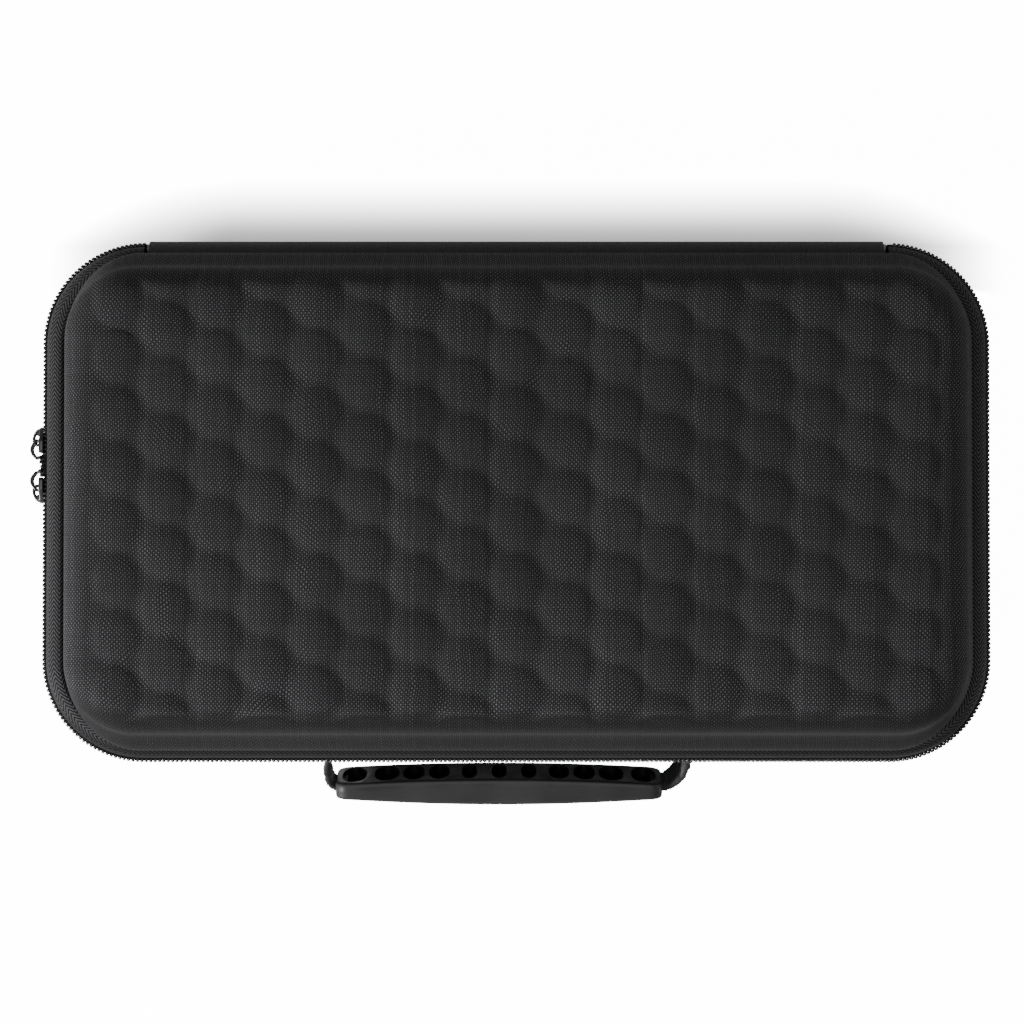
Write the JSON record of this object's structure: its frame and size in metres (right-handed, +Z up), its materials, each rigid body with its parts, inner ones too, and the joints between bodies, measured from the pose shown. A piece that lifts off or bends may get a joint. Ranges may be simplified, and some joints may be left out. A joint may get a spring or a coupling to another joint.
{
  "type": "interchangeable needle set",
  "caption": "Zipped hard case with hinged lid and carry handle, holding a tray of paired needle tips under elastics and their small fittings.",
  "frame": {"origin": "centre of the base's flat underside, on the surface the case lies on", "axes": "+X along the case's length, +Y towards the cloth hinge at the back, +Z up through the lid"},
  "size_m": [0.3498, 0.2068, 0.0745],
  "materials": {
    "case_fabric": "fine charcoal woven cloth laminated to moulded foam",
    "edge_binding": "folded woven edge tape",
    "zip_tape": "herringbone woven zip tape",
    "zip_teeth": "moulded nylon coil",
    "hinge_cloth": "woven cloth strip, stitched",
    "webbing": "cross-ribbed nylon webbing",
    "backing_plastic": "plain moulded plate",
    "rivet_steel": "pressed steel rivet",
    "tray_cloth": "brushed knitted cloth over foam",
    "elastic": "ribbed elastic",
    "needle_metal": "polished metal shaft",
    "collar_brass": "turned brass",
    "stopper_plastic": "moulded plastic disc",
    "pocket_mesh": "open knitted mesh",
    "slider_metal": "dark enamelled die casting",
    "pull_wire": "dark enamelled wire",
    "grip_core": "satin moulded plastic with finger recesses",
    "grip_cover": "smooth soft-touch moulding"
  },
  "bodies": {
    "base": {"base_shell": "case_fabric", "base_binding": "edge_binding", "base_zip_tape": "zip_tape", "base_zip_coil": "zip_teeth", "base_hinge_cloth": "hinge_cloth", "zip_end_stops": "zip_teeth", "handle_anchors": "webbing", "handle_backing_plates": "backing_plastic", "handle_rivets": "rivet_steel", "needle_tray": "tray_cloth", "tray_elastics": "elastic", "tips_2_75mm": "needle_metal", "tips_3_00mm": "needle_metal", "tips_3_25mm": "needle_metal", "tips_3_50mm": "needle_metal", "tips_3_75mm": "needle_metal", "tips_4_00mm": "needle_metal", "tips_4_50mm": "needle_metal", "tips_5_00mm": "needle_metal", "tips_5_50mm": "needle_metal", "tips_6_00mm": "needle_metal", "tips_6_50mm": "needle_metal", "tips_7_00mm": "needle_metal", "tips_8_00mm": "needle_metal", "tip_collars": "collar_brass", "end_stoppers": "stopper_plastic", "tightening_keys": "needle_metal", "cable_connectors": "collar_brass"},
    "lid": {"lid_shell": "case_fabric", "lid_binding": "edge_binding", "lid_zip_tape": "zip_tape", "lid_zip_coil": "zip_teeth", "lid_hinge_cloth": "hinge_cloth", "mesh_pocket": "pocket_mesh", "pocket_edging": "edge_binding"},
    "rear_slider": {"slider_rear": "slider_metal"},
    "rear_pull": {"pull_rear": "pull_wire"},
    "front_slider": {"slider_front": "slider_metal"},
    "front_pull": {"pull_front": "pull_wire"},
    "handle": {"handle_webbing": "webbing", "grip_core": "grip_core", "grip_cover": "grip_cover"}
  },
  "joints": [
    {"name": "lid_hinge", "type": "hinge", "parent": "base", "child": "lid", "pos_m": [0, 0.0947, 0.038], "axis": [-1, 0, 0], "range_deg": [0, 180]},
    {"name": "rear_slider_run", "type": "slide", "parent": "base", "child": "rear_slider", "axis": [0, 1, 0], "range_m": [0, 0.029]},
    {"name": "front_slider_run", "type": "slide", "parent": "base", "child": "front_slider", "axis": [0, -1, 0], "range_m": [0, 0.056]},
    {"name": "rear_pull_swing", "type": "hinge", "parent": "rear_slider", "child": "rear_pull", "pos_m": [-0.1751, 0.0226, 0.038], "axis": [0, 0, -1], "range_deg": [0, 140]},
    {"name": "front_pull_swing", "type": "hinge", "parent": "front_slider", "child": "front_pull", "pos_m": [-0.1751, 0.0042, 0.038], "axis": [0, 0, 1], "range_deg": [0, 140]},
    {"name": "handle_swing", "type": "hinge", "parent": "base", "child": "handle", "pos_m": [0, -0.0887, 0.0175], "axis": [-1, 0, 0], "range_deg": [0, 25]}
  ]
}
